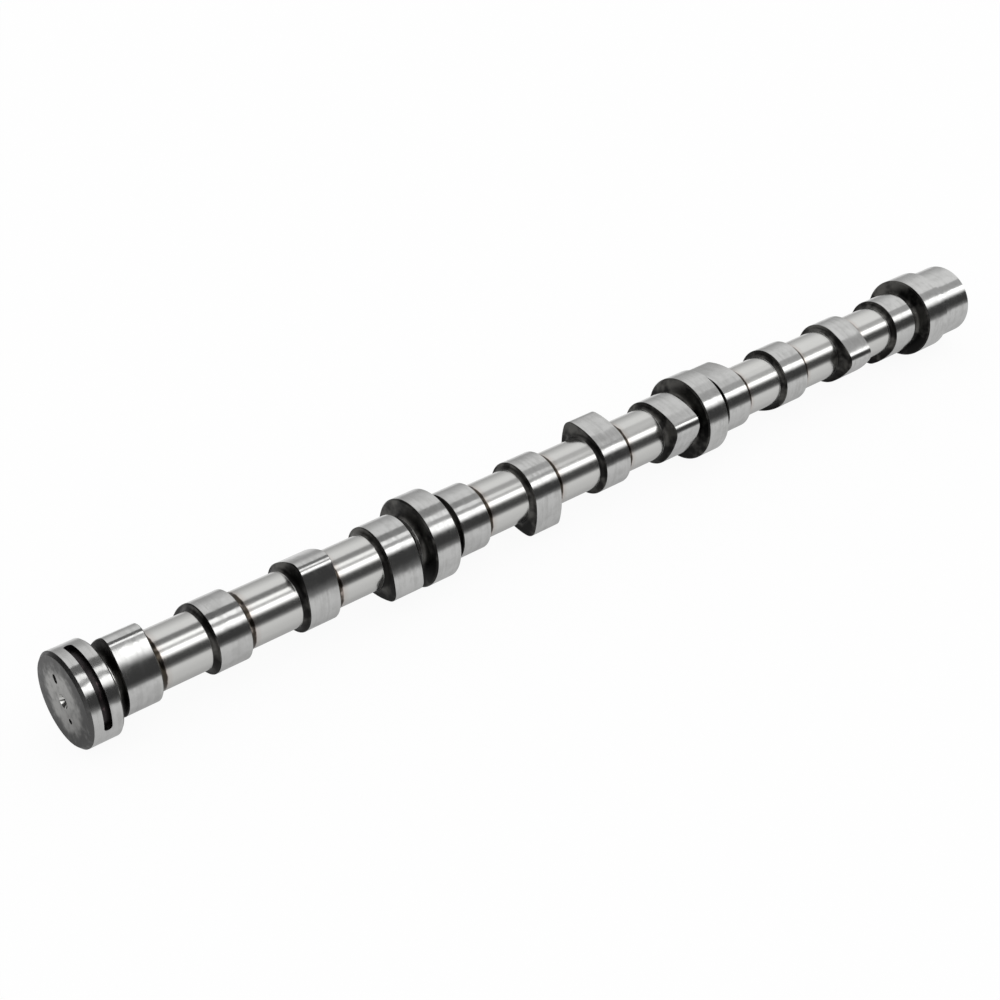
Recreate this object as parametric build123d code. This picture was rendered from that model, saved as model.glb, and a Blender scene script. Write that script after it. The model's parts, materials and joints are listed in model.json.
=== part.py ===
from build123d import *
import math
import os

# A camshaft for an in-line engine of six cylinders, turned and ground from one steel bar.
# Millimetres, +Z up. X runs along the shaft, from the slotted journal to the gear seat,
# and the origin is on the axis, in the middle of that first journal.
# Angles about the shaft are in degrees from +Z, right-handed about +X.

# Plain shaft
SHAFT_DIAMETER = 35.0
ROOT_RADIUS = 3.0              # fillet where the shaft meets a lobe or a journal

# Bearing journals, with two cylinders between each pair
JOURNAL_PITCH = 230.0
JOURNAL_DIAMETER = 56.5
SLOTTED_JOURNAL_WIDTH = 20.0
JOURNAL_WIDTH = 19.0           # the two in the middle
GEAR_JOURNAL_WIDTH = 22.0
GEAR_JOURNAL_LEAD = 9.5        # from its near face to the middle of its bearing
JOURNAL_EDGE = 1.0
OPEN_EDGE = 1.8                # the wider lead-in on the open end of the slotted journal

# Gear seat, which the timing gear is pressed on
SEAT_STEP = 3.25               # down from the journal beside it
SEAT_LENGTH = 29.5
SEAT_ROOT_RADIUS = 2.0
SEAT_EDGE = 1.5

# Lobes
LOBE_WIDTH = 21.5
BASE_CIRCLE_DIAMETER = 42.6
LIFT = 6.6
NOSE_RADIUS = 8.5
FLANK_ANGLE = 62.0             # from the nose to where a flank leaves the base circle
LOBE_EDGE = 0.5
JOURNAL_TO_LOBE = 27.5         # middle to middle
VALVE_SPACING = 57.5           # between the two lobes of one cylinder

# Timing
FIRING_ORDER = (1, 5, 3, 6, 2, 4)
LOBE_SEPARATION = 102.0        # from a cylinder's exhaust nose to its inlet nose
FIRST_EXHAUST_ANGLE = 0.0

# Oil slot in the slotted journal
SLOT_WIDTH = 5.0
SLOT_DEPTH = 3.0
SLOT_START_ANGLE = -20.5
SLOT_END_ANGLE = 101.0
SLOT_CORNER = 2.2

# Lathe centre in each end
CENTRE_MOUTH_DIAMETER = 8.5
CENTRE_CONE_ANGLE = 60.0
CENTRE_PILOT_DIAMETER = 3.2
CENTRE_PILOT_DEPTH = 9.0

# Two small blind holes in the open end, on a line through the centre
HOLE_LINE_ANGLE = -31.0
UPPER_HOLE_OFFSET = 13.0
UPPER_HOLE_LENGTH = 5.5        # along that line
UPPER_HOLE_WIDTH = 3.4
LOWER_HOLE_OFFSET = 11.4
LOWER_HOLE_DIAMETER = 3.2
END_HOLE_DEPTH = 6.0

FILLET_SHARE = 0.95            # the most that a fillet takes of the wall beside it
SAME_RADIUS = 0.001            # two circles this close in radius are the same size

SHAFT_RADIUS = SHAFT_DIAMETER / 2
JOURNAL_RADIUS = JOURNAL_DIAMETER / 2
SEAT_RADIUS = JOURNAL_RADIUS - SEAT_STEP
BASE_RADIUS = BASE_CIRCLE_DIAMETER / 2

OPEN_FACE = -SLOTTED_JOURNAL_WIDTH / 2
BAYS = len(FIRING_ORDER) // 2
LAST_BEARING = BAYS * JOURNAL_PITCH
SEAT_START = LAST_BEARING - GEAR_JOURNAL_LEAD + GEAR_JOURNAL_WIDTH
SEAT_END = SEAT_START + SEAT_LENGTH


def turned(*points):
    """A solid of revolution about X from a half-section of (x, radius) points."""
    return revolve(Plane.XZ * Polygon(*points, align=None), axis=Axis.X)


def collar(start, end, radius, near_edge, far_edge):
    """A plain cylinder on the axis, with a chamfer round each rim."""
    return turned(
        (start, 0),
        (start, radius - near_edge),
        (start + near_edge, radius),
        (end - far_edge, radius),
        (end, radius - far_edge),
        (end, 0),
    )


def journals():
    """The four bearing journals, first to last."""
    made = [collar(OPEN_FACE, -OPEN_FACE, JOURNAL_RADIUS, OPEN_EDGE, JOURNAL_EDGE)]
    for bearing in range(1, BAYS):
        near = bearing * JOURNAL_PITCH - JOURNAL_WIDTH / 2
        made.append(collar(near, near + JOURNAL_WIDTH, JOURNAL_RADIUS, JOURNAL_EDGE, JOURNAL_EDGE))
    near = LAST_BEARING - GEAR_JOURNAL_LEAD
    made.append(collar(near, SEAT_START, JOURNAL_RADIUS, JOURNAL_EDGE, JOURNAL_EDGE))
    return made


def gear_seat():
    """The plain end that the gear is pressed on, from inside the last journal."""
    return turned(
        (LAST_BEARING, 0),
        (LAST_BEARING, SEAT_RADIUS),
        (SEAT_END - SEAT_EDGE, SEAT_RADIUS),
        (SEAT_END, SEAT_RADIUS - SEAT_EDGE),
        (SEAT_END, 0),
    )


def flank_radius(nose_offset, flank):
    """Radius of the arc that touches the base circle at the flank angle, and the nose."""
    reach = nose_offset * math.cos(flank)
    square = BASE_RADIUS**2 + nose_offset**2 - NOSE_RADIUS**2 - 2 * BASE_RADIUS * reach
    return square / (2 * (BASE_RADIUS - NOSE_RADIUS - reach))


def lobe_outline():
    """Base circle, convex flanks and nose, drawn across the shaft with the nose up."""
    flank = math.radians(FLANK_ANGLE)
    nose_offset = BASE_RADIUS + LIFT - NOSE_RADIUS
    radius = flank_radius(nose_offset, flank)
    # The right flank's arc, its middle and its ends
    centre = Vector(math.sin(flank), math.cos(flank)) * (BASE_RADIUS - radius)
    nose_centre = Vector(0, nose_offset)
    towards_nose = (nose_centre - centre).normalized()
    towards_base = Vector(math.sin(flank), math.cos(flank))
    base_end = towards_base * BASE_RADIUS
    nose_end = nose_centre + towards_nose * NOSE_RADIUS
    middle = centre + (towards_nose + towards_base).normalized() * radius

    def mirrored(point):
        return Vector(-point.X, point.Y)

    edges = [
        ThreePointArc(base_end, middle, nose_end),
        ThreePointArc(nose_end, Vector(0, BASE_RADIUS + LIFT), mirrored(nose_end)),
        ThreePointArc(mirrored(nose_end), mirrored(middle), mirrored(base_end)),
        ThreePointArc(mirrored(base_end), Vector(0, -BASE_RADIUS), base_end),
    ]
    return Plane.YZ * make_face(edges)


def lobe(middle, angle):
    """One lobe, centred at a station on the axis, with its nose turned to an angle."""
    blank = extrude(lobe_outline(), LOBE_WIDTH / 2, both=True)
    rims = blank.edges().filter_by(Axis.X, reverse=True)
    return Pos(X=middle) * Rot(X=angle) * chamfer(rims, LOBE_EDGE)


def lobe_places():
    """Station and nose angle of every lobe, in order along the shaft."""
    firing_step = 360.0 / len(FIRING_ORDER)
    places = []
    for bay in range(BAYS):
        near_journal = bay * JOURNAL_PITCH
        far_journal = near_journal + JOURNAL_PITCH
        starts = {
            2 * bay + 1: near_journal + JOURNAL_TO_LOBE,
            2 * bay + 2: far_journal - JOURNAL_TO_LOBE - VALVE_SPACING,
        }
        for cylinder, first in starts.items():
            exhaust = FIRST_EXHAUST_ANGLE - firing_step * FIRING_ORDER.index(cylinder)
            inlet = exhaust - LOBE_SEPARATION
            # The exhaust lobe is the one beside the journal
            angles = (exhaust, inlet) if cylinder % 2 else (inlet, exhaust)
            places += [(first, angles[0]), (first + VALVE_SPACING, angles[1])]
    return places


def oil_slot():
    """The cutter for the slot that runs part of the way round a journal."""
    floor = JOURNAL_RADIUS - SLOT_DEPTH
    rim = JOURNAL_RADIUS + SLOT_DEPTH
    section = Polygon(
        (-SLOT_WIDTH / 2, floor),
        (SLOT_WIDTH / 2, floor),
        (SLOT_WIDTH / 2, rim),
        (-SLOT_WIDTH / 2, rim),
        align=None,
    )
    sweep = revolve(Plane.XZ * section, axis=Axis.X, revolution_arc=SLOT_END_ANGLE - SLOT_START_ANGLE)
    corners = sweep.edges().filter_by(GeomType.LINE).filter_by(Axis.X, reverse=True)
    return Rot(X=SLOT_START_ANGLE) * fillet(corners, min(SLOT_CORNER, FILLET_SHARE * SLOT_WIDTH / 2))


def centre_hole(face, inward):
    """The cutter for a lathe centre: a cone with a pilot hole behind it."""
    mouth = CENTRE_MOUTH_DIAMETER / 2
    pilot = CENTRE_PILOT_DIAMETER / 2
    cone = (mouth - pilot) / math.tan(math.radians(CENTRE_CONE_ANGLE / 2))
    return turned(
        (face, 0),
        (face, mouth),
        (face + inward * cone, pilot),
        (face + inward * (cone + CENTRE_PILOT_DEPTH), pilot),
        (face + inward * (cone + CENTRE_PILOT_DEPTH + pilot), 0),
    )


def end_holes():
    """The cutters for the two small blind holes in the open end."""
    upper = Pos(Y=UPPER_HOLE_OFFSET) * Rot(Z=90) * SlotOverall(UPPER_HOLE_LENGTH, UPPER_HOLE_WIDTH)
    lower = Pos(Y=-LOWER_HOLE_OFFSET) * Circle(LOWER_HOLE_DIAMETER / 2)
    drawn = Plane.YZ * (upper + lower)
    return Pos(X=OPEN_FACE) * Rot(X=HOLE_LINE_ANGLE) * extrude(drawn, END_HOLE_DEPTH)


def rims_of(body, radius):
    """The circles of one radius where a plain length meets a face."""
    circles = body.edges().filter_by(GeomType.CIRCLE)
    return circles.filter_by(lambda edge: abs(edge.radius - radius) < SAME_RADIUS)


def camshaft():
    """The whole shaft: collars and lobes on the bar, filleted roots, then the cuts."""
    bar = turned((0, 0), (0, SHAFT_RADIUS), (SEAT_START, SHAFT_RADIUS), (SEAT_START, 0))
    body = bar + journals() + [lobe(middle, angle) for middle, angle in lobe_places()]
    root_wall = min(BASE_RADIUS - LOBE_EDGE, JOURNAL_RADIUS - JOURNAL_EDGE) - SHAFT_RADIUS
    body = fillet(rims_of(body, SHAFT_RADIUS), min(ROOT_RADIUS, FILLET_SHARE * root_wall))
    body = body + gear_seat()
    seat_wall = SEAT_STEP - JOURNAL_EDGE
    seat_root = rims_of(body, SEAT_RADIUS).sort_by(Axis.X)[0]
    body = fillet(seat_root, min(SEAT_ROOT_RADIUS, FILLET_SHARE * seat_wall))
    body = body - oil_slot() - centre_hole(OPEN_FACE, 1) - centre_hole(SEAT_END, -1) - end_holes()
    return body


os.makedirs("parts", exist_ok=True)
shaft = camshaft()
shaft.label = "camshaft"
export_step(shaft, "parts/camshaft.step")
box = shaft.bounding_box()
print(f"camshaft {box.size.X:.1f} x {box.size.Y:.1f} x {box.size.Z:.1f} mm, {shaft.volume / 1000:.0f} cm3")
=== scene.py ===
# %% [markdown]
# # A ground steel camshaft
#
# A camshaft turns in an engine and opens its valves. This one is a single bar of steel. Four big
# round collars, the journals, run in bearings, and twelve egg-shaped collars, the lobes, push on
# the valve gear. Its looks are all in two things: the true shape of every collar, and the way that
# ground steel mirrors the studio round it. So this lesson turns the bar, grinds the lobes, cuts the
# oil slot, gives each surface its finish, and then hangs the lights.

# %% [markdown]
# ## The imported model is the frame
#
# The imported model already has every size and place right. We load it first, keep its box to compare
# with at the end, and read the journals' radius and stations from its record, so that nothing here
# is measured by eye.

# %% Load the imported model
import json
import math

import bmesh
import bpy
from mathutils import Matrix, Vector


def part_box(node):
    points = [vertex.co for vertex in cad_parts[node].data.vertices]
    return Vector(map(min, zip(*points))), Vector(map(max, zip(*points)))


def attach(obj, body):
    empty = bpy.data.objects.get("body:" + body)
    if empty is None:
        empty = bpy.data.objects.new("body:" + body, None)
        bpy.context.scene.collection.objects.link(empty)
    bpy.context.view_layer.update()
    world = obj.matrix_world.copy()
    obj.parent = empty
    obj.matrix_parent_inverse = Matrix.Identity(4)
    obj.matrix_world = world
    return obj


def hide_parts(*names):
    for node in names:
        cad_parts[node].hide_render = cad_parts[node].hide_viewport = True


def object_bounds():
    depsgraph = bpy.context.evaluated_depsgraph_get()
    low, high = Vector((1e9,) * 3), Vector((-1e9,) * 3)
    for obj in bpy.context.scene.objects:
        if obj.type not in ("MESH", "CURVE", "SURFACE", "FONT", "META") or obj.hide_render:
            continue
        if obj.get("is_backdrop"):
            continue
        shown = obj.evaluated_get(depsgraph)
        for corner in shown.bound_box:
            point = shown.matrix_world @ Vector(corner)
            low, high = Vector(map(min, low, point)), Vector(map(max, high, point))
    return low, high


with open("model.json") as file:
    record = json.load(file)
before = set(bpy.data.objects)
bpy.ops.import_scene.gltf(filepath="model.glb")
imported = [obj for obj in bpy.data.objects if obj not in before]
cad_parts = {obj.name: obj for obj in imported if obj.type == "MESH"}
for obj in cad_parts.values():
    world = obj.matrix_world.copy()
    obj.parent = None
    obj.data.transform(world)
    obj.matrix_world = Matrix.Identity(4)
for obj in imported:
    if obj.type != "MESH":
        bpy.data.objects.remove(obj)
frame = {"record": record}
cad_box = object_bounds()
lowest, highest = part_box("camshaft")
print(f"The packed camshaft runs from x = {lowest.x:.3f} m to x = {highest.x:.3f} m")

# %% Sizes from the frame
MM = 0.001
mounts = {mount["name"]: mount for mount in frame["record"]["mounts"]}
OPEN_FACE = lowest.x
SEAT_END = highest.x
JOURNAL_RADIUS = mounts["second_journal"]["dims"]["r_mm"] * MM
SEAT_RADIUS = mounts["gear_seat"]["dims"]["r_mm"] * MM
JOURNAL_PITCH = mounts["third_journal"]["pos_m"][0] - mounts["second_journal"]["pos_m"][0]
print(f"Journals of {2 * JOURNAL_RADIUS / MM:.1f} mm, {JOURNAL_PITCH / MM:.0f} mm apart")

# %% [markdown]
# ## The bar and its collars
#
# The frame holds the rest of the shape too, but only as triangles, so the other driving sizes are
# named again here. They are the maker's own: widths, chamfers, the fillet at each root, and the
# lobes' places between two journals.

# %% Sizes that the record doesn't hold
BAR_RADIUS = 17.5 * MM
ROOT_RADIUS = 3.0 * MM
JOURNAL_WIDTH = 19.0 * MM
GEAR_JOURNAL_WIDTH = 22.0 * MM
GEAR_JOURNAL_LEAD = 9.5 * MM
JOURNAL_EDGE = 1.0 * MM
OPEN_EDGE = 1.8 * MM
SEAT_ROOT_RADIUS = 2.0 * MM
SEAT_EDGE = 1.5 * MM
LOBE_WIDTH = 21.5 * MM
BASE_RADIUS = 21.3 * MM
LOBE_EDGE = 0.5 * MM
JOURNAL_TO_LOBE = 27.5 * MM
VALVE_SPACING = 57.5 * MM
BAYS = 3
LAST_JOURNAL_START = BAYS * JOURNAL_PITCH - GEAR_JOURNAL_LEAD
SEAT_START = LAST_JOURNAL_START + GEAR_JOURNAL_WIDTH
print(f"The gear seat starts at x = {SEAT_START / MM:.1f} mm")

# %% [markdown]
# ## Where the lobes stand, and which way they point
#
# Every cylinder has an exhaust lobe, the one beside a journal, and an inlet lobe. The exhaust lobes
# follow the firing order in steps of 60 degrees, and each inlet lobe trails its exhaust lobe by the
# lobe separation. Working the angles out from the firing order is how a real cam grinder's sheet
# is made, and it is safer than typing twelve angles.

# %% The lobes' stations and angles
FIRING_ORDER = (1, 5, 3, 6, 2, 4)
LOBE_SEPARATION = 102.0


def lobe_places():
    """Station in metres and nose angle in degrees of each lobe, in order along the shaft."""
    step = 360.0 / len(FIRING_ORDER)
    places = []
    for bay in range(BAYS):
        near_journal = bay * JOURNAL_PITCH
        starts = {
            2 * bay + 1: near_journal + JOURNAL_TO_LOBE,
            2 * bay + 2: near_journal + JOURNAL_PITCH - JOURNAL_TO_LOBE - VALVE_SPACING,
        }
        for cylinder, first in starts.items():
            exhaust = -step * FIRING_ORDER.index(cylinder)
            inlet = exhaust - LOBE_SEPARATION
            pair = (exhaust, inlet) if cylinder % 2 else (inlet, exhaust)
            places += [(first, pair[0]), (first + VALVE_SPACING, pair[1])]
    return places


LOBES = lobe_places()
print("The noses point at", [round((angle + 180) % 360 - 180) for _, angle in LOBES])

# %% [markdown]
# ## Turning the blank
#
# A lathe makes anything round, and so does spin: we draw half of the section, from the axis to the
# surface, and sweep it once round the shaft. The fillets are real arcs, because a fillet is what
# catches the light at the foot of a collar. Modelling each collar by itself and pushing it into a
# cylinder would be quicker, but would leave hidden walls inside the steel and no fillets.

# %% A collar and the bar beside it
ROOT_STEPS = 6
ROOT_TOP = BAR_RADIUS + ROOT_RADIUS
NECK = 10.0 * MM
STAIN_WIDTH = 1.1 * MM
STAIN_END = 2.0 * MM
TINT_END = 5.5 * MM


def arc(centre, radius, start, end, steps=ROOT_STEPS):
    """Points along an arc of the half-section, with angles in degrees from +X towards the rim."""
    turns = [math.radians(start + (end - start) * step / steps) for step in range(steps + 1)]
    return [(centre[0] + radius * math.cos(turn), centre[1] + radius * math.sin(turn)) for turn in turns]


def rim(start, end, radius, start_edge, end_edge):
    """A chamfer, the round surface and the other chamfer."""
    return [(start, radius - start_edge), (start + start_edge, radius),
            (end - end_edge, radius), (end, radius - end_edge)]


def bar_between(face, next_face):
    """A fillet, the bar and the next fillet. On all but a narrow neck, three rings of points on the
    bar mark how far the stain and its tint reach."""
    foot = face + ROOT_RADIUS
    next_foot = next_face - ROOT_RADIUS
    reaches = [foot + STAIN_WIDTH, foot + STAIN_END, foot + TINT_END]
    rings = [(x, BAR_RADIUS) for x in reaches] if next_face - face > NECK else []
    return (arc((foot, ROOT_TOP), ROOT_RADIUS, 180, 270) + rings
            + arc((next_foot, ROOT_TOP), ROOT_RADIUS, -90, 0))


print(f"Each fillet takes {ROOT_STEPS + 1} points")

# %% The lathe centres
CENTRE_MOUTH = 4.25 * MM
CENTRE_PILOT = 1.6 * MM
CENTRE_PILOT_DEPTH = 9.0 * MM
CENTRE_HALF_ANGLE = math.radians(30)
CONE_DEPTH = (CENTRE_MOUTH - CENTRE_PILOT) / math.tan(CENTRE_HALF_ANGLE)
PILOT_END = CONE_DEPTH + CENTRE_PILOT_DEPTH


def lathe_centre(face, inward):
    """The conical hole that a lathe holds the bar by, from its tip out to the end face."""
    return [
        (face + inward * (PILOT_END + CENTRE_PILOT), 0.0),
        (face + inward * PILOT_END, CENTRE_PILOT),
        (face + inward * CONE_DEPTH, CENTRE_PILOT),
        (face, CENTRE_MOUTH),
    ]


print(f"The cone of a lathe centre is {CONE_DEPTH / MM:.1f} mm deep")


# %% The whole half-section
def collars():
    """Start, end, radius and both edges of every collar on the bar, in order."""
    half = LOBE_WIDTH / 2
    found = [(OPEN_FACE, -OPEN_FACE, JOURNAL_RADIUS, OPEN_EDGE, JOURNAL_EDGE),
             (LAST_JOURNAL_START, SEAT_START, JOURNAL_RADIUS, JOURNAL_EDGE, JOURNAL_EDGE)]
    found += [(place - half, place + half, BASE_RADIUS, LOBE_EDGE, LOBE_EDGE) for place, _ in LOBES]
    for bearing in range(1, BAYS):
        start = bearing * JOURNAL_PITCH - JOURNAL_WIDTH / 2
        found.append((start, start + JOURNAL_WIDTH, JOURNAL_RADIUS, JOURNAL_EDGE, JOURNAL_EDGE))
    return sorted(found)


COLLARS = collars()
GAPS = [(first[1], second[0]) for first, second in zip(COLLARS, COLLARS[1:])]


def half_section():
    """The outline of the bar and all its collars, from one lathe centre to the other."""
    points = lathe_centre(OPEN_FACE, 1) + rim(*COLLARS[0])
    for gap, collar in zip(GAPS, COLLARS[1:]):
        points += bar_between(*gap) + rim(*collar)
    seat_root = (SEAT_START + SEAT_ROOT_RADIUS, SEAT_RADIUS + SEAT_ROOT_RADIUS)
    points += arc(seat_root, SEAT_ROOT_RADIUS, 180, 270)
    points += [(SEAT_END - SEAT_EDGE, SEAT_RADIUS), (SEAT_END, SEAT_RADIUS - SEAT_EDGE)]
    return points + lathe_centre(SEAT_END, -1)[::-1]


section = half_section()
print(f"The half-section has {len(section)} points")

# %% Spin it round the shaft
SPIN_STEPS = 240
MERGE = 0.001 * MM


def turned_blank(points):
    """A bmesh of the blank: the half-section swept once round X, with its doubles merged."""
    blank = bmesh.new()
    line = [blank.verts.new((x, 0.0, radius)) for x, radius in points]
    edges = [blank.edges.new(pair) for pair in zip(line, line[1:])]
    bmesh.ops.spin(blank, geom=line + edges, cent=(0, 0, 0), axis=(1, 0, 0), angle=math.tau,
                   steps=SPIN_STEPS, use_merge=True)
    bmesh.ops.remove_doubles(blank, verts=blank.verts, dist=MERGE)
    bmesh.ops.recalc_face_normals(blank, faces=blank.faces)
    return blank


shaft_mesh = turned_blank(section)
print(f"The blank has {len(shaft_mesh.faces)} faces")

# %% [markdown]
# ## Grinding the lobes
#
# On a cam grinder the blank turns slowly while the wheel moves in and out. We do the same: every
# point on a lobe's rim moves outwards by what the outline asks for at its angle. The outline has a
# base circle, two gently curved flanks and a round nose, and each is a circle, so the rim's distance
# from the axis is where a ray from the axis meets that circle.

# %% The outline of a lobe
LIFT = 6.6 * MM
NOSE_RADIUS = 8.5 * MM
FLANK_ANGLE = math.radians(62)
TOWARDS_BASE = Vector((math.sin(FLANK_ANGLE), math.cos(FLANK_ANGLE)))
NOSE_CENTRE = Vector((0, BASE_RADIUS + LIFT - NOSE_RADIUS))


def flank_circle():
    """Centre and radius of the flank's arc, which touches the base circle and the nose."""
    reach = NOSE_CENTRE.dot(TOWARDS_BASE)
    square = BASE_RADIUS**2 + NOSE_CENTRE.length_squared - NOSE_RADIUS**2 - 2 * BASE_RADIUS * reach
    radius = square / (2 * (BASE_RADIUS - NOSE_RADIUS - reach))
    return TOWARDS_BASE * (BASE_RADIUS - radius), radius


FLANK_CENTRE, FLANK_RADIUS = flank_circle()
nose_end = NOSE_CENTRE + (NOSE_CENTRE - FLANK_CENTRE).normalized() * NOSE_RADIUS
NOSE_ANGLE = math.atan2(nose_end.x, nose_end.y)
print(f"The flanks are arcs of {FLANK_RADIUS / MM:.0f} mm")


# %% How far out the outline lies
def reach_to(centre, radius, turn):
    """How far a ray from the axis goes before it leaves a circle."""
    along = centre.dot(Vector((math.sin(turn), math.cos(turn))))
    return along + math.sqrt(along**2 - centre.length_squared + radius**2)


def lobe_radius(turn):
    """The outline's distance from the axis, at an angle from the nose in radians."""
    turn = abs(math.remainder(turn, math.tau))
    if turn >= FLANK_ANGLE:
        return BASE_RADIUS
    if turn >= NOSE_ANGLE:
        return reach_to(FLANK_CENTRE, FLANK_RADIUS, turn)
    return reach_to(NOSE_CENTRE, NOSE_RADIUS, turn)


heel = lobe_radius(math.pi) / MM
print(f"It runs from {heel:.1f} mm at the heel to {lobe_radius(0) / MM:.1f} mm at the nose")

# %% Move the rims
SNAP = 0.05 * MM


def turn_of(spot):
    """A point's angle about the shaft in radians, from straight up towards -Y."""
    return math.atan2(-spot.y, spot.z)


def grind(mesh, place, nose):
    """Moves one lobe's rim out to its outline, and returns how many points moved."""
    rims = [point for point in mesh.verts
            if abs(point.co.x - place) < LOBE_WIDTH / 2 + SNAP and point.co.yz.length > ROOT_TOP + SNAP]
    for point in rims:
        growth = lobe_radius(turn_of(point.co) - math.radians(nose)) - BASE_RADIUS
        scale = 1 + growth / point.co.yz.length
        point.co = (point.co.x, point.co.y * scale, point.co.z * scale)
    return len(rims)


moved = sum(grind(shaft_mesh, place, nose) for place, nose in LOBES)
print(f"Grinding moved {moved} points")

# %% [markdown]
# ## The oil slot and the end holes
#
# A slot runs a third of the way round the first journal and takes oil across it. Two small blind
# holes are drilled in the open end. Each cut is a tool: a closed shape that is taken away with the
# exact Boolean. The slot's tool is a rectangle spun part of the way round, with its four corner
# edges bevelled round, because a milling cutter leaves round ends. Its steps are longer than that
# bevel, which would otherwise run over the next edge.

# %% The slot's tool
SLOT_WIDTH = 5.0 * MM
SLOT_DEPTH = 3.0 * MM
SLOT_START = math.radians(-20.5)
SLOT_END = math.radians(101)
SLOT_CORNER = 2.2 * MM
SLOT_STEPS = 22
CORNER_STEPS = 8


def slot_tool():
    """A closed ring sector with rounded ends, round the axis at the journal's surface."""
    tool = bmesh.new()
    floor = JOURNAL_RADIUS - SLOT_DEPTH
    rim_top = JOURNAL_RADIUS + SLOT_DEPTH
    side = SLOT_WIDTH / 2
    spots = [(-side, 0, floor), (side, 0, floor), (side, 0, rim_top), (-side, 0, rim_top)]
    first = tool.faces.new([tool.verts.new(spot) for spot in spots])
    swept = bmesh.ops.spin(tool, geom=[first], cent=(0, 0, 0), axis=(1, 0, 0), angle=SLOT_END - SLOT_START,
                           steps=SLOT_STEPS)
    caps = [first] + [piece for piece in swept["geom_last"] if isinstance(piece, bmesh.types.BMFace)]
    corners = [edge for face in caps for edge in face.edges
               if abs(edge.verts[0].co.x - edge.verts[1].co.x) < MERGE]
    bmesh.ops.bevel(tool, geom=corners, offset=SLOT_CORNER, offset_type="OFFSET", segments=CORNER_STEPS,
                    profile=0.5, affect="EDGES", material=-1)
    bmesh.ops.rotate(tool, verts=tool.verts, cent=(0, 0, 0), matrix=Matrix.Rotation(SLOT_START, 3, "X"))
    bmesh.ops.recalc_face_normals(tool, faces=tool.faces)
    return tool


print(f"The slot runs {math.degrees(SLOT_END - SLOT_START):.1f} degrees round the journal")

# %% The tools of the two end holes
HOLE_LINE = math.radians(-31)
UPPER_HOLE_OFFSET = 13.0 * MM
UPPER_HOLE_LENGTH = 5.5 * MM
UPPER_HOLE_WIDTH = 3.4 * MM
LOWER_HOLE_OFFSET = -11.4 * MM
LOWER_HOLE_WIDTH = 3.2 * MM
END_HOLE_DEPTH = 6.0 * MM
HOLE_STEPS = 32


def hole_tool(offset, width, length):
    """A drill at the open end, on the holes' line, drawn out along that line to a length."""
    tool = bmesh.new()
    bmesh.ops.create_cone(tool, cap_ends=True, segments=HOLE_STEPS, radius1=width / 2, radius2=width / 2,
                          depth=2 * END_HOLE_DEPTH, matrix=Matrix.Rotation(math.pi / 2, 4, "Y"))
    for point in tool.verts:
        point.co.z += math.copysign((length - width) / 2, point.co.z)
    bmesh.ops.translate(tool, verts=tool.verts, vec=(OPEN_FACE, 0, offset))
    bmesh.ops.rotate(tool, verts=tool.verts, cent=(0, 0, 0), matrix=Matrix.Rotation(HOLE_LINE, 3, "X"))
    return tool


print(f"The end holes are {END_HOLE_DEPTH / MM:.0f} mm deep")


# %% Cut them
def in_scene(mesh, name):
    """An object in the scene made from a bmesh, which is then freed."""
    data = bpy.data.meshes.new(name)
    mesh.to_mesh(data)
    mesh.free()
    made = bpy.data.objects.new(name, data)
    bpy.context.scene.collection.objects.link(made)
    return made


def cut(body, tool):
    """Takes a tool's shape out of a body for good, and removes the tool."""
    cutting = body.modifiers.new("cut", "BOOLEAN")
    cutting.operation = "DIFFERENCE"
    cutting.solver = "EXACT"
    cutting.object = tool
    applied = bpy.data.meshes.new_from_object(body.evaluated_get(bpy.context.evaluated_depsgraph_get()))
    body.modifiers.clear()
    body.data = applied
    bpy.data.objects.remove(tool)


camshaft = in_scene(shaft_mesh, "ground_camshaft")
upper_hole = hole_tool(UPPER_HOLE_OFFSET, UPPER_HOLE_WIDTH, UPPER_HOLE_LENGTH)
lower_hole = hole_tool(LOWER_HOLE_OFFSET, LOWER_HOLE_WIDTH, LOWER_HOLE_WIDTH)
for tool_mesh in (slot_tool(), upper_hole, lower_hole):
    cut(camshaft, in_scene(tool_mesh, "tool"))
print(f"After the cuts the camshaft has {len(camshaft.data.polygons)} faces")

# %% [markdown]
# ## Shader maths as expressions
#
# The finishes below are worked out from where a point is on the shaft. Laying out every Math node
# would hide the sums, so a small class wraps a node's output and turns + - * / and ** into Math
# nodes. One method makes every other node.


# %% A socket that can be reckoned with
class Reading:
    """A node's output, which can stand in a sum."""

    def __init__(self, nodes, socket):
        self.nodes = nodes
        self.socket = socket

    def __getitem__(self, name):
        return Reading(self.nodes, self.socket.node.outputs[name])

    def sum(self, operation, first, second):
        """A Math node on two values."""
        return self.nodes.make("ShaderNodeMath", {"operation": operation}, {0: first, 1: second})

    def __add__(self, other):
        return self.sum("ADD", self, other)

    def __sub__(self, other):
        return self.sum("SUBTRACT", self, other)

    def __rsub__(self, other):
        return self.sum("SUBTRACT", other, self)

    def __mul__(self, other):
        return self.sum("MULTIPLY", self, other)

    def __truediv__(self, other):
        return self.sum("DIVIDE", self, other)

    def __pow__(self, other):
        return self.sum("POWER", self, other)

    __radd__ = __add__
    __rmul__ = __mul__


# %% A tree of nodes
def grey_of(level):
    """The grey of a level, as a colour."""
    return (level, level, level, 1)


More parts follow.
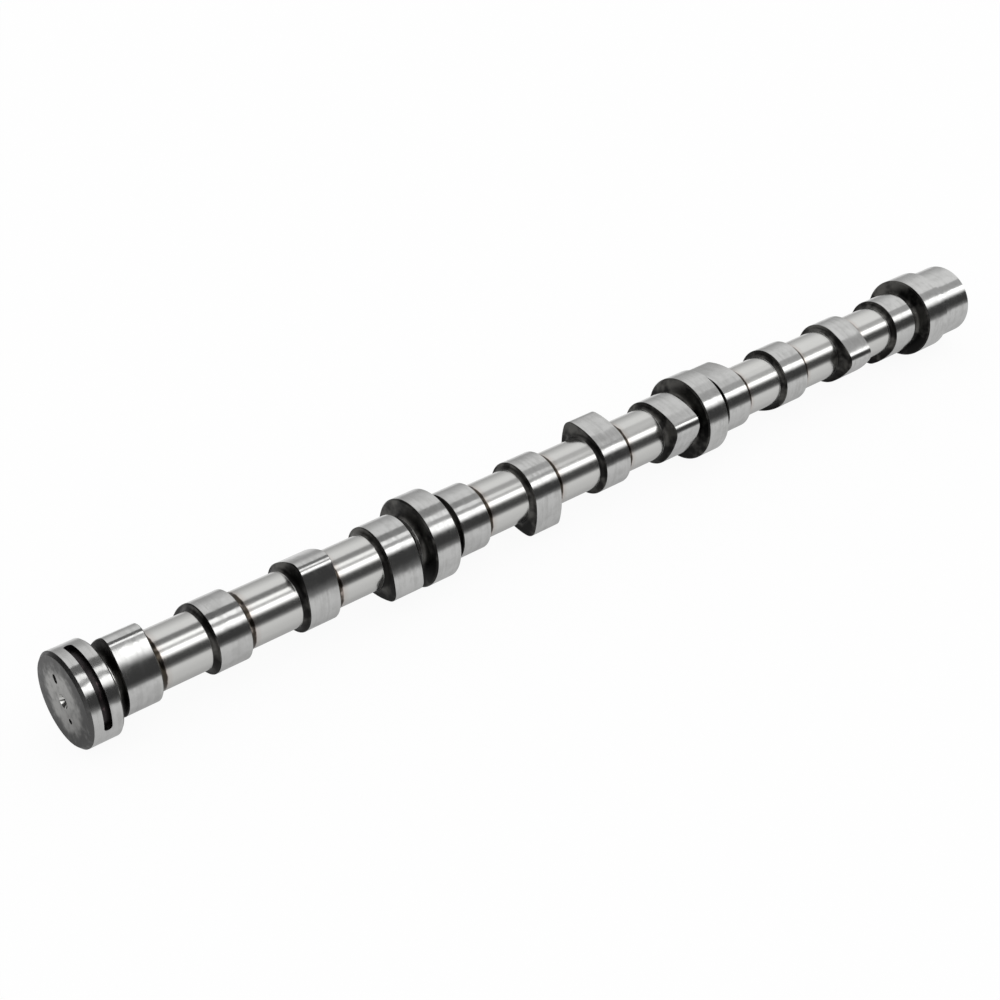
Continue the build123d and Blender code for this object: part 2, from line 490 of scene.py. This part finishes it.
class Nodes:
    """The nodes of one material or of the world."""

    def __init__(self, tree):
        self.tree = tree
        self.tree.nodes.clear()

    def make(self, kind, settings=None, values=None, output=0):
        """Makes any node: first its settings, then the values or links of its sockets."""
        made = self.tree.nodes.new(kind)
        for name, value in (settings or {}).items():
            if name == "stops":
                self.set_stops(made.color_ramp.elements, value)
            else:
                setattr(made, name, value)
        for name, value in (values or {}).items():
            if isinstance(value, Reading):
                self.tree.links.new(value.socket, made.inputs[name])
            else:
                made.inputs[name].default_value = value
        return Reading(self, made.outputs[output]) if made.outputs else None

    def set_stops(self, elements, stops):
        """Gives a ramp grey levels at places from 0 to 1, the first and last place included."""
        for place, _ in stops[1:-1]:
            elements.new(place)
        for element, (_, level) in zip(elements, stops):
            element.color = grey_of(level)

    def rise(self, value, start, end):
        """0 before start, 1 after end, and smooth between them."""
        return self.make("ShaderNodeMapRange", {"interpolation_type": "SMOOTHSTEP"},
                         {"Value": value, "From Min": start, "From Max": end})

    def blend(self, share, first, second):
        """A colour between two colours."""
        return self.make("ShaderNodeMix", {"data_type": "RGBA"}, {0: share, 6: first, 7: second}, output=2)

    def place(self):
        """Where a point is, in Object coordinates."""
        return self.make("ShaderNodeTexCoord")["Object"]

    def along(self, axis):
        """How far a point is along X, Y or Z."""
        return self.make("ShaderNodeSeparateXYZ", None, {0: self.place()})[axis]

    def clouds(self, lumps, detail=2.0):
        """A cloudy value about 0.5, whose lumps have the given sizes along X, Y and Z."""
        sized = self.make("ShaderNodeMapping", None,
                          {"Vector": self.place(), "Scale": tuple(1 / size for size in lumps)})
        return self.make("ShaderNodeTexNoise", None, {"Vector": sized, "Scale": 1.0, "Detail": detail})

    def stored(self, name):
        """A value that the mesh stores at its points."""
        return self.make("ShaderNodeAttribute", {"attribute_name": name})["Fac"]

    def surface(self, shader):
        """Ends a material with its shader."""
        self.make("ShaderNodeOutputMaterial", None, {"Surface": shader})


def new_material(name):
    """A material with an empty tree of nodes."""
    material = bpy.data.materials.new(name)
    material.use_nodes = True
    return material, Nodes(material.node_tree)


# %% [markdown]
# ## Steel that has been ground
#
# A grinding wheel leaves a bright surface with fine scratches that run round the shaft. Each
# scratch is too small to see, but together they blur a reflection a little and make some rings
# duller than others. So the scratches are a noise that is squeezed along the shaft and drawn out
# round it, and it moves the roughness and a very low bump. Under them lie slow waves, a few
# millimetres long, which make the long highlights waver, most of all on the first journal.

# %% The journals, the lobes and the gear seat
GROUND = (0.575, 0.575, 0.568, 1)
GROUND_DULL = (0.50, 0.50, 0.492, 1)
SCRATCH_SIZE = (0.35 * MM, 14 * MM, 14 * MM)
RING_SIZE = (2.2 * MM, 60 * MM, 60 * MM)
RING_SHARE = 0.4
PATCH_SIZE = (6 * MM, 6 * MM, 6 * MM)
DULL_RANGE = (0.40, 0.66)
GROUND_BLUR = 0.09
SCRATCH_BLUR = 0.07
DULL_BLUR = 0.07

# The heights are in millimetres
SCRATCH_HEIGHT = 0.0025
WAVE_HEIGHT = 0.12
FIRST_WAVE_HEIGHT = 0.28
WAVE_SIZE = (6 * MM, 12 * MM, 12 * MM)
WAVE_FADE = 6.0 * MM


def ground_finish():
    """Bright steel with the fine lines of a grinding wheel, over slow waves."""
    material, nodes = new_material("ground_collars")
    scratches = nodes.clouds(SCRATCH_SIZE, detail=3.0)
    patches = nodes.clouds(PATCH_SIZE, detail=4.0)
    dull = nodes.rise(patches * (1 - RING_SHARE) + nodes.clouds(RING_SIZE) * RING_SHARE, *DULL_RANGE)
    past_first = nodes.rise(nodes.along("X"), -OPEN_FACE, -OPEN_FACE + WAVE_FADE)
    wave_height = FIRST_WAVE_HEIGHT - past_first * (FIRST_WAVE_HEIGHT - WAVE_HEIGHT)
    height = nodes.clouds(WAVE_SIZE, detail=1.0) * wave_height + scratches * SCRATCH_HEIGHT
    bump = nodes.make("ShaderNodeBump", None, {"Strength": 1.0, "Distance": MM, "Height": height})
    nodes.surface(nodes.make("ShaderNodeBsdfPrincipled", None, {
        "Base Color": nodes.blend(dull, GROUND, GROUND_DULL),
        "Metallic": 1.0,
        "Roughness": GROUND_BLUR + scratches * SCRATCH_BLUR + dull * DULL_BLUR,
        "Normal": bump,
    }))
    return material


# %% [markdown]
# ## The bar, the roots and the sides
#
# The bar is turned and polished. Nobody grinds the sides of a collar and their chamfers, so they
# keep the dark skin of the heat treatment, painted lighter towards the top and worn in patches. The
# same dark is painted shade on the fillets, thinning out to bright steel at their foot, and in narrow
# necks. Beyond the far side of every collar, where oil and damp gather, the bar carries a dark line
# with a brown tint after it. Skin and shade, and the stain, follow the collars, so the mesh stores
# both at its points, and noise only breaks up their edges.

# %% The bar, the roots and the sides
POLISHED = (0.66, 0.658, 0.642, 1)
LINE_SIZE = (0.5 * MM, 20 * MM, 20 * MM)
POLISHED_BLUR = 0.15
LINE_BLUR = 0.08

TINTED = (0.52, 0.45, 0.41, 1)
STAIN_BROWN = (0.052, 0.044, 0.034, 1)
BLOT_SIZE = (5 * MM, 5 * MM, 5 * MM)
STAIN_BLOTS = 1.3
STAIN_RANGE = (0.42, 0.98)

# The dark of unground sides, which is also painted shade on the fillets and in the necks
SKIN_AND_SHADE = (0.020, 0.0195, 0.019, 1)
SKIN_WORN_AND_LIT = (0.120, 0.117, 0.110, 1)
SKIN_AND_SHADE_BLOTS = 0.4
SKIN_AND_SHADE_RANGE = (0.15, 0.9)
SKIN_AND_SHADE_BLUR = 0.25
WEAR_SIZE = (25 * MM, 12 * MM, 12 * MM)
# The sides are painted lighter towards the top: painted light, on top of the random wear
PAINTED_LIGHT_PER_METRE_UP = 3.5
WEAR_AND_LIGHT_RANGE = (0.45, 0.68)


def bar_finish():
    """Polished steel with dark lines and a brown tint, and the dark of unground sides and of painted shade
    where the mesh asks for it.
    """
    material, nodes = new_material("bar_and_sides")
    lines = nodes.clouds(LINE_SIZE, detail=3.0)
    blots = nodes.clouds(BLOT_SIZE, detail=4.0) - 0.5
    stain = nodes.stored("stain")
    stained = nodes.rise(stain + blots * STAIN_BLOTS, *STAIN_RANGE)
    skin = nodes.rise(nodes.stored("skin") + blots * SKIN_AND_SHADE_BLOTS, *SKIN_AND_SHADE_RANGE)
    # Random wear plus painted light that grows towards the top
    wear_and_painted_light = nodes.clouds(WEAR_SIZE, detail=3.0) + nodes.along("Z") * PAINTED_LIGHT_PER_METRE_UP
    steel = nodes.blend(stained, nodes.blend(stain, POLISHED, TINTED), STAIN_BROWN)
    dark = nodes.blend(nodes.rise(wear_and_painted_light, *WEAR_AND_LIGHT_RANGE), SKIN_AND_SHADE, SKIN_WORN_AND_LIT)
    nodes.surface(nodes.make("ShaderNodeBsdfPrincipled", None, {
        "Base Color": nodes.blend(skin, steel, dark),
        "Metallic": 1.0,
        "Roughness": POLISHED_BLUR + lines * LINE_BLUR + skin * SKIN_AND_SHADE_BLUR,
    }))
    return material


# %% [markdown]
# ## The end faces and the slot
#
# The end face has been faced on a lathe and then left: it is grey and cloudy, lighter in the middle
# than near the rim, and its turned rings run round the centre. The cone of the lathe centre is as
# bright as the bar. The slot is milled, and its walls are painted dark as shade, with lighter purple
# patches as a painted glint.

# %% The two end faces
FACED_LIGHT = (0.43, 0.427, 0.415, 1)
FACED_DARK = (0.12, 0.119, 0.118, 1)
CLOUD_SIZE = (4 * MM, 4 * MM, 4 * MM)
CLOUD_SHARE = 0.9
RIM_SHADE = (13 * MM, 23 * MM)
RIM_SHARE = 0.45
SHADE_RANGE = (0.32, 0.92)
RING_PITCH = 0.9 * MM
RING_HEIGHT = 0.02 * MM
RING_STRENGTH = 0.35
FACED_BLUR = 0.30
SHADE_BLUR = 0.15


def faced_finish():
    """Faced steel: rings round the centre, with cloudy grey over them."""
    material, nodes = new_material("faced_ends")
    radius = (nodes.along("Y") ** 2 + nodes.along("Z") ** 2) ** 0.5
    rings = nodes.make("ShaderNodeMath", {"operation": "SINE"}, {0: radius * (math.tau / RING_PITCH)})
    rim_shade = nodes.rise(radius, *RIM_SHADE)
    clouds = nodes.clouds(CLOUD_SIZE, detail=5.0)
    shade = nodes.rise(clouds * CLOUD_SHARE + rim_shade * RIM_SHARE, *SHADE_RANGE)
    bump = nodes.make("ShaderNodeBump", None,
                      {"Strength": RING_STRENGTH, "Distance": RING_HEIGHT, "Height": rings})
    nodes.surface(nodes.make("ShaderNodeBsdfPrincipled", None, {
        "Base Color": nodes.blend(shade, FACED_LIGHT, FACED_DARK),
        "Metallic": 1.0,
        "Roughness": FACED_BLUR + shade * SHADE_BLUR,
        "Normal": bump,
    }))
    return material


# %% The slot
# The slot's dark is painted shade, and its lighter patches are a painted glint
SLOT_SHADE = (0.040, 0.036, 0.037, 1)
SLOT_GLINT = (0.16, 0.115, 0.125, 1)
GLINT_PATCH_SIZE = (2 * MM, 4 * MM, 4 * MM)
GLINT_RANGE = (0.55, 0.75)
SLOT_BLUR = 0.35


def slot_finish():
    """Milled walls, painted dark as shade, with patches of painted glint."""
    material, nodes = new_material("oily_slot")
    glint = nodes.rise(nodes.clouds(GLINT_PATCH_SIZE, detail=3.0), *GLINT_RANGE)
    nodes.surface(nodes.make("ShaderNodeBsdfPrincipled", None, {
        "Base Color": nodes.blend(glint, SLOT_SHADE, SLOT_GLINT),
        "Metallic": 1.0,
        "Roughness": SLOT_BLUR,
    }))
    return material


# %% [markdown]
# ## Which surface gets which finish
#
# A machinist would say which surface is which from where it is, and so can the script: a face's
# middle and its normal tell whether it is on the bar or a side, on a ground rim, on an end or in the
# slot. A chamfer goes with the side that it borders, and the one round the open end with that end.
# This is surer than picking faces by number, and it still works when a size changes.

# %% The finishes in their slots
GROUND_RIM, BAR, END, SLOT = range(4)
for finish in (ground_finish(), bar_finish(), faced_finish(), slot_finish()):
    camshaft.data.materials.append(finish)
EDGE_SLOPE = 0.5


def surface_at(face):
    """The finish of a face, from its middle and its normal."""
    spot = face.center
    radius = spot.yz.length
    on_open_edge = spot.x < OPEN_FACE + OPEN_EDGE and radius > JOURNAL_RADIUS - OPEN_EDGE
    if min(abs(spot.x - OPEN_FACE), abs(spot.x - SEAT_END)) < SNAP or on_open_edge:
        return END
    if abs(spot.x) < SLOT_WIDTH / 2 + SNAP and BAR_RADIUS < radius < JOURNAL_RADIUS - SNAP:
        return SLOT
    if radius < ROOT_TOP or abs(face.normal.x) > EDGE_SLOPE:
        return BAR
    return GROUND_RIM


for face in camshaft.data.polygons:
    face.material_index = surface_at(face)
names = [finish.name for finish in camshaft.data.materials]
counts = [sum(face.material_index == index for face in camshaft.data.polygons) for index in range(len(names))]
print("Faces of each finish:", dict(zip(names, counts)))

# %% [markdown]
# ## Where the skin, the painted shade and the stain lie
#
# Both are told from the distance to the foot of a fillet. The skin and shade value is 1 on a side
# and 0 on the bar. On a fillet it is painted shade: it starts right at the foot of a fillet that faces
# the open end, and a little way up one that faces the gear seat. In a narrow neck the fillets are all
# painted shade, and the floor keeps only a trace of it.
# The stain is 1 from part of the way up a fillet that faces the gear seat to the first ring of
# points on the bar, a tint at the second ring and 0 at the third.

# %% Store them
# The fillets and the narrow necks get painted shade in the same dark as the sides
FILLET_SHADE_FULL = 0.8 * MM
FAR_FILLET_SHADE = (1.0 * MM, 2.0 * MM)
NECK_SHADE = 0.1
STAIN_CLIMB = 1.6 * MM
TINT = 0.4


def share(value, start, end):
    """0 before start, 1 after end, and straight between them."""
    return min(max((value - start) / (end - start), 0.0), 1.0)


def skin_shade_and_stain(x, radius):
    """The dark of sides and painted shade, and the stain, at a distance along the shaft and from its axis."""
    gap = next(((face, after) for face, after in GAPS if face - SNAP < x < after + SNAP), None)
    if radius < BAR_RADIUS - SNAP:
        return 0.0, 0.0
    if gap is None or radius > ROOT_TOP - SNAP:
        return 1.0, 0.0
    if gap[1] - gap[0] < NECK:
        # In a narrow neck the fillets are painted shade, and the floor keeps a trace of it
        return NECK_SHADE if radius < BAR_RADIUS + SNAP else 1.0, 0.0
    beyond = x - gap[0] - ROOT_RADIUS
    climb = x - gap[1] + ROOT_RADIUS
    skin = max(share(climb, 0.0, FILLET_SHADE_FULL), share(-beyond, *FAR_FILLET_SHADE))
    if beyond < -STAIN_CLIMB or beyond > STAIN_END + SNAP:
        return skin, 0.0
    return skin, 1.0 if beyond < STAIN_WIDTH + SNAP else TINT


skin_and_shade_values = camshaft.data.attributes.new("skin", "FLOAT", "POINT")
stain_values = camshaft.data.attributes.new("stain", "FLOAT", "POINT")
marks = [skin_shade_and_stain(point.co.x, point.co.yz.length) for point in camshaft.data.vertices]
skin_and_shade_values.data.foreach_set("value", [skin for skin, _ in marks])
stain_values.data.foreach_set("value", [stain for _, stain in marks])
print("Stained points:", sum(stain > 0 for _, stain in marks))

# %% Smooth shading with crisp edges
CREASE = math.radians(30)
camshaft.data.shade_smooth()
camshaft.data.set_sharp_from_angle(angle=CREASE)
weighting = camshaft.modifiers.new("even_normals", "WEIGHTED_NORMAL")
weighting.keep_sharp = True
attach(camshaft, "root")
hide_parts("camshaft")
print("Crisp edges:", sum(edge.use_edge_sharp for edge in camshaft.data.edges))

# %% [markdown]
# ## Floor and backdrop
#
# The studio is white all round. For the camera the floor mostly shines with its own white, so it is
# never grey, and a share of it is an ordinary white surface, which keeps a faint shadow under the
# shaft. What the steel mirrors of the floor is painted light, graded across the shaft as light on a
# real floor is: a painted shadow close under the shaft, bright beside it, and dim again far out.

# %% The floor
FLOOR_LEVEL = lowest.z
FLOOR_HALF = 12.0
WHITE = grey_of(1)
PLAIN_WHITE = grey_of(0.9)
CAMERA_GLOW = 0.93
MIRRORED_HALF = 2.0

# A place along Y in metres, and the level that mirrors see there: painted light on the floor, with a painted
# shadow close under the shaft
FLOOR_PAINTED_LIGHT = (
    (-2.0, 0.18), (-0.60, 0.22), (-0.40, 0.40), (-0.26, 0.74), (-0.16, 0.82), (-0.08, 0.78),
    (-0.03, 0.66), (-0.006, 0.38), (0.012, 0.48), (0.03, 0.62), (0.10, 0.88), (0.40, 0.54),
    (2.0, 0.45),
)


def floor_finish():
    """White that glows for the camera, over an ordinary white. Mirrors see painted light and a painted
    shadow, in levels that change along Y.
    """
    material, nodes = new_material("white_floor")
    ray = nodes.make("ShaderNodeLightPath")
    mirrored = ray["Is Glossy Ray"] + ray["Is Transmission Ray"]
    stops = [((y + MIRRORED_HALF) / (2 * MIRRORED_HALF), level) for y, level in FLOOR_PAINTED_LIGHT]
    across = (nodes.along("Y") + MIRRORED_HALF) / (2 * MIRRORED_HALF)
    levels = nodes.make("ShaderNodeValToRGB", {"stops": stops}, {"Fac": across})
    plain = nodes.make("ShaderNodeBsdfDiffuse", None, {"Color": PLAIN_WHITE})
    seen = nodes.blend(ray["Is Camera Ray"], levels, WHITE)
    glow = nodes.make("ShaderNodeEmission", None, {"Color": seen, "Strength": 1.0})
    share_of_glow = ray["Is Camera Ray"] * CAMERA_GLOW + mirrored
    nodes.surface(nodes.make("ShaderNodeMixShader", None, {0: share_of_glow, 1: plain, 2: glow}))
    return material


floor_mesh = bmesh.new()
bmesh.ops.create_grid(floor_mesh, x_segments=1, y_segments=1, size=FLOOR_HALF,
                      matrix=Matrix.Translation((0, 0, FLOOR_LEVEL)))
floor = in_scene(floor_mesh, "floor")
floor.data.materials.append(floor_finish())
floor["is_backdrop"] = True
print(f"The floor lies at z = {FLOOR_LEVEL:.4f} m")

# %% The white backdrop
WORLD_LEVEL = 1.0


def light_world():
    """A plain white world, the same for the camera, for mirrors and for the light on the floor."""
    world = bpy.data.worlds.new("white_room")
    world.use_nodes = True
    bpy.context.scene.world = world
    nodes = Nodes(world.node_tree)
    shine = nodes.make("ShaderNodeBackground", None, {"Color": WHITE, "Strength": WORLD_LEVEL})
    nodes.make("ShaderNodeOutputWorld", None, {"Surface": shine})


light_world()
print(f"The world shines at a level of {WORLD_LEVEL:.1f}")

# %% [markdown]
# ## Cards and softboxes
#
# Polished steel has hardly any colour of its own: what we see on it is the studio. A photographer
# gets the long light and dark bands along a shaft with long cards and softboxes beside it. Each
# card here is a flat strip, parallel to the shaft, placed by the two angles between which the shaft
# sees it, from straight up towards the camera's side. The camera doesn't see the cards.

# %% One card
CARD_DISTANCE = 1.6
NEAR_END = -0.9
FAR_END = 3.6
LENGTHWAYS = (FAR_END - NEAR_END, 0, 0)


def shining(piece, level, fade=None):
    """Gives a stage piece its shine, which only mirrors see. A fade is an axis, where it starts and
    ends along that axis, and the level that it reaches."""
    material, nodes = new_material(piece.name)
    colour = grey_of(level)
    if fade:
        axis, start, end, reached = fade
        colour = nodes.blend(nodes.rise(nodes.along(axis), start, end), colour, grey_of(reached))
    nodes.surface(nodes.make("ShaderNodeEmission", None, {"Color": colour, "Strength": 1.0}))
    piece.data.materials.append(material)
    piece.visible_camera = False
    piece.visible_diffuse = False
    piece.visible_shadow = False
    piece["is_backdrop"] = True


def sheet(name, corner, across, up, level, fade=None):
    """A flat rectangle from one corner along two edges, which shines at a level."""
    made = bmesh.new()
    corner, across, up = Vector(corner), Vector(across), Vector(up)
    spots = [corner, corner + across, corner + across + up, corner + up]
    made.faces.new([made.verts.new(spot) for spot in spots])
    shining(in_scene(made, name), level, fade)


def card(name, angles, level, fade=None):
    """A strip from one angle to another, as long as the studio, which shines at a level."""
    low, high = [Vector((NEAR_END, -CARD_DISTANCE * math.sin(turn), CARD_DISTANCE * math.cos(turn)))
                 for turn in map(math.radians, angles)]
    sheet(name, low, LENGTHWAYS, high - low, level, fade)


# %% Hang them
CARDS = (
    ("front_flag", (60, 92), 0.18, ("Z", -0.05, 0.26, 0.06)),
    ("main_softbox", (33.5, 60), 0.06, ("Z", 0.80, 1.165, 2.2)),
    ("gap_flag", (21.5, 33), 0.50),
    ("second_softbox", (8, 21.5), 1.7, ("X", 0.7, 1.9, 0.50)),
    ("top_flag", (-15.5, 8), 0.18, ("X", 0.7, 2.35, 1.0)),
)
for chosen in CARDS:
    card(*chosen)
print(f"{len(CARDS)} cards hang {CARD_DISTANCE} m from the shaft")

# %% [markdown]
# ## The walls and the dark end
#
# Behind the shaft stands a grey wall that grows lighter upwards. The end of the studio beside the
# open face is a black tunnel, so bright steel that faces that way looks dark. A small panel in it
# puts the bright streak into the cone of the lathe centre.

# %% The walls
WALL_PLACE = 1.59
WALL_UP = (0, 0, 5.6)
WALL_ACROSS = (0, 2 * WALL_PLACE, 0)
DARK_LEVEL = 0.04
sheet("back_wall", (NEAR_END, WALL_PLACE, FLOOR_LEVEL), LENGTHWAYS, WALL_UP, 0.40, ("Z", -0.5, 2.0, 0.92))
sheet("seat_end_flag", (FAR_END, -WALL_PLACE, FLOOR_LEVEL), WALL_ACROSS, WALL_UP, 0.95)
sheet("open_end_flag", (NEAR_END, -WALL_PLACE, FLOOR_LEVEL), WALL_ACROSS, WALL_UP, DARK_LEVEL)
print(f"The back wall stands {WALL_PLACE} m behind the shaft")

# %% The panel for the lathe centre
PANEL_SIDE = 0.73
PANEL_CORNER = (NEAR_END + 0.01, -1.115, 0.355)
PANEL_LEVEL = 1.8
sheet("centre_panel", PANEL_CORNER, (0, PANEL_SIDE, 0), (0, 0, PANEL_SIDE), PANEL_LEVEL)
print(f"The panel is {PANEL_SIDE} m wide")

# %% The tunnel
TUNNEL_RADIUS = 1.5
TUNNEL_MOUTH = -0.45
TUNNEL_STEPS = 24
tunnel = bmesh.new()
tunnel_ends = [tunnel.verts.new((x, TUNNEL_RADIUS, FLOOR_LEVEL)) for x in (NEAR_END, TUNNEL_MOUTH)]
tunnel_line = tunnel.edges.new(tunnel_ends)
bmesh.ops.spin(tunnel, geom=tunnel_ends + [tunnel_line], cent=(0, 0, FLOOR_LEVEL), axis=(1, 0, 0),
               angle=math.pi, steps=TUNNEL_STEPS)
shining(in_scene(tunnel, "dark_tunnel"), DARK_LEVEL)
print(f"The tunnel reaches from x = {NEAR_END} m to x = {TUNNEL_MOUTH} m")

# %% [markdown]
# ## The camera
#
# The camera stands where the photographer's did: in front of the open end, above the shaft, and
# rolled a little. Its place and angles were worked out from the shaft's outline in the picture, so
# they are used as they are, and no tracking constraint is needed.

# %% Place the camera
CAMERA_PLACE = Vector((-0.33644, -0.67622, 0.65154))
VIEW_AZIMUTH = math.radians(42.963)
VIEW_ELEVATION = math.radians(35.150)
VIEW_ROLL = math.radians(3.547)
LENS = 66.044
FILM_WIDTH = 36.0

camera = bpy.data.objects.new("camera", bpy.data.cameras.new("camera"))
camera.data.lens = LENS
camera.data.sensor_width = FILM_WIDTH
aim = Matrix.Rotation(-VIEW_AZIMUTH, 4, "Z") @ Matrix.Rotation(math.pi / 2 - VIEW_ELEVATION, 4, "X")
camera.matrix_world = Matrix.Translation(CAMERA_PLACE) @ aim @ Matrix.Rotation(VIEW_ROLL, 4, "Z")
bpy.context.scene.collection.objects.link(camera)
bpy.context.scene.camera = camera
bpy.context.scene.view_settings.view_transform = "Standard"
print("The camera stands at", tuple(round(value, 3) for value in CAMERA_PLACE))

# %% [markdown]
# ## Compare the boxes
#
# The dressed model must be as large as the imported one. Both boxes are gathered, and the
# largest difference is printed.

# %% Gather both boxes
bpy.context.view_layer.update()
visual_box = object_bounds()
boxes = {"cad": [list(corner) for corner in cad_box], "visual": [list(corner) for corner in visual_box]}
gap = max(abs(a - b) for pair in zip(boxes["cad"], boxes["visual"]) for a, b in zip(*pair))
print(f"The boxes differ by at most {gap / MM:.3f} mm")
